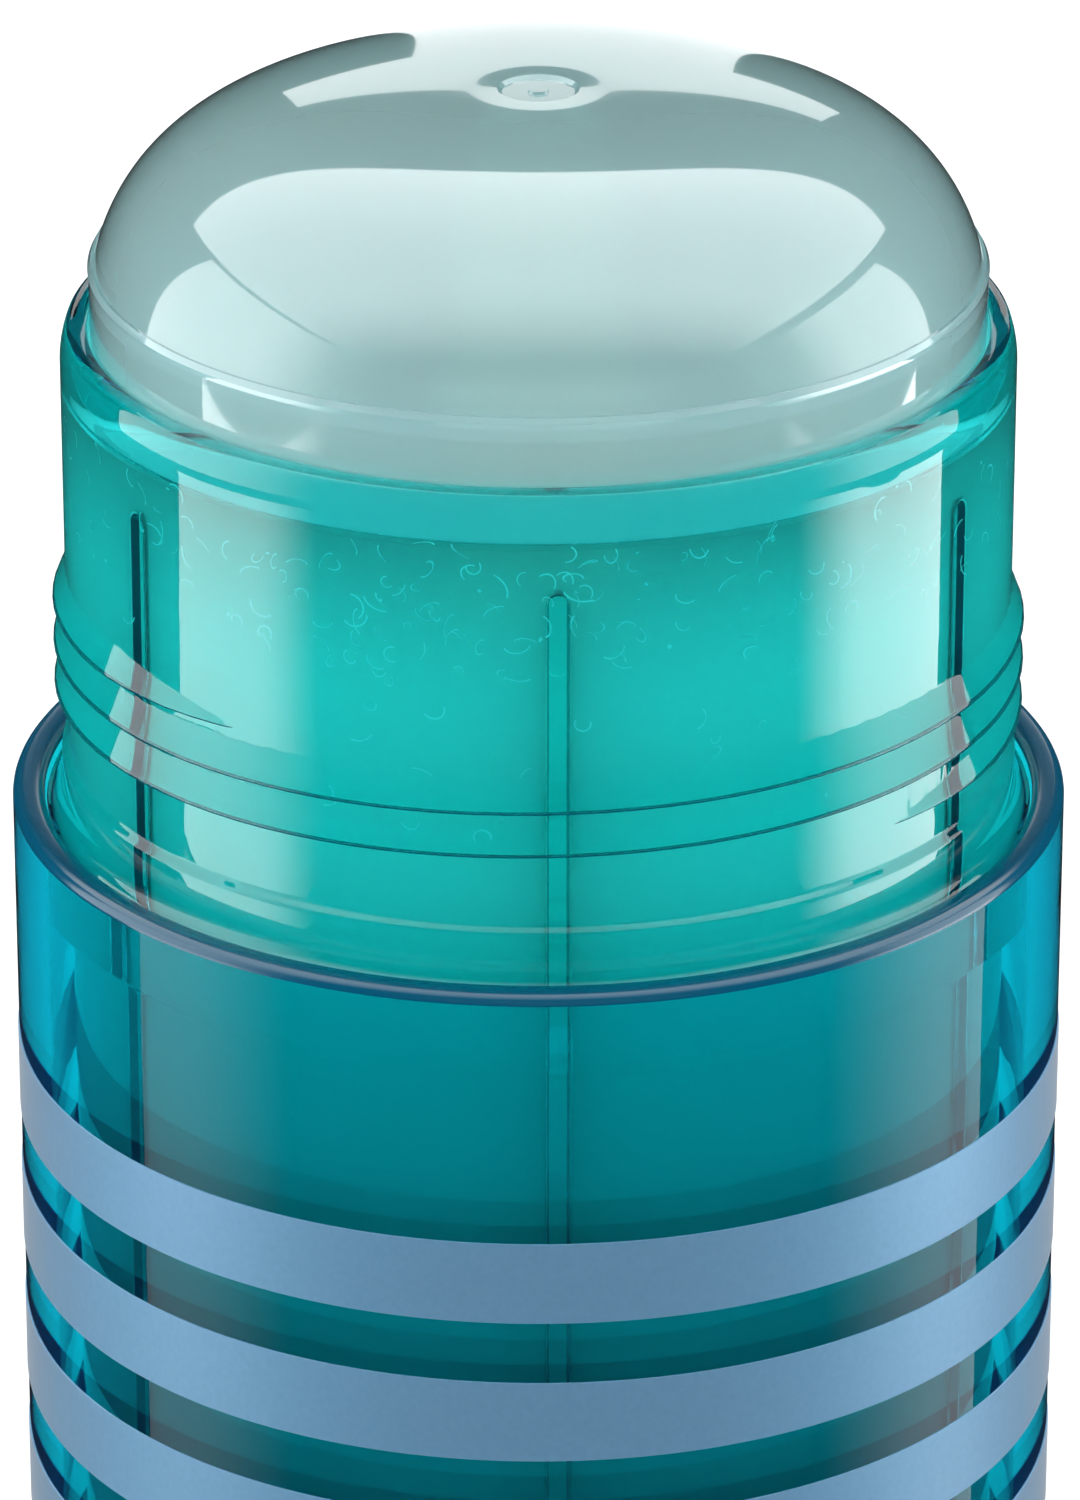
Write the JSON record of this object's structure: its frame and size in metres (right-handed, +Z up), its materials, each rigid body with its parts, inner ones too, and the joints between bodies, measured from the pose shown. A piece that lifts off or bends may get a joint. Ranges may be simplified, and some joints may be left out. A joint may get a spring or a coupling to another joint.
{
  "type": "deodorant stick",
  "caption": "Open twist-up gel deodorant stick: clear striped sleeve, threaded neck, domed seal, gel on a lift, screw and turning base dial.",
  "frame": {"origin": "centre of the dial's flat foot, on the surface that the stick stands on", "axes": "+Z up along the pack's axis, -Y towards the front that the picture shows, +X to the right"},
  "size_m": [0.0462, 0.046, 0.0867],
  "materials": {
    "dial_plastic": "gloss",
    "natural_plastic": "satin",
    "clear_tube": "gloss",
    "clear_sleeve": "gloss",
    "band_ink": "satin",
    "lift_plastic": "satin",
    "clear_gel": "gloss",
    "milky_plastic": "gloss"
  },
  "bodies": {
    "pack": {"inner_tube": "clear_tube", "outer_sleeve": "clear_sleeve", "printed_bands": "band_ink"},
    "drive": {"base_dial": "dial_plastic", "screw_spindle": "natural_plastic"},
    "carriage": {"lift_platform": "lift_plastic", "gel_stick": "clear_gel"},
    "seal": {"dome_seal": "milky_plastic"}
  },
  "joints": [
    {"name": "dial_turn", "type": "hinge", "parent": "pack", "child": "drive", "pos_m": [0, 0, 0], "axis": [0, 0, 1], "range_deg": [0, 4325]},
    {"name": "stick_rise", "type": "slide", "parent": "pack", "child": "carriage", "axis": [0, 0, 1], "range_m": [0, 0.048]},
    {"name": "seal_pull", "type": "slide", "parent": "carriage", "child": "seal", "axis": [0, 0, 1], "range_m": [0, 0.03]}
  ],
  "couplings": [
    {"joint": "dial_turn", "follows": "stick_rise", "rad_per_m": 1570.8}
  ]
}
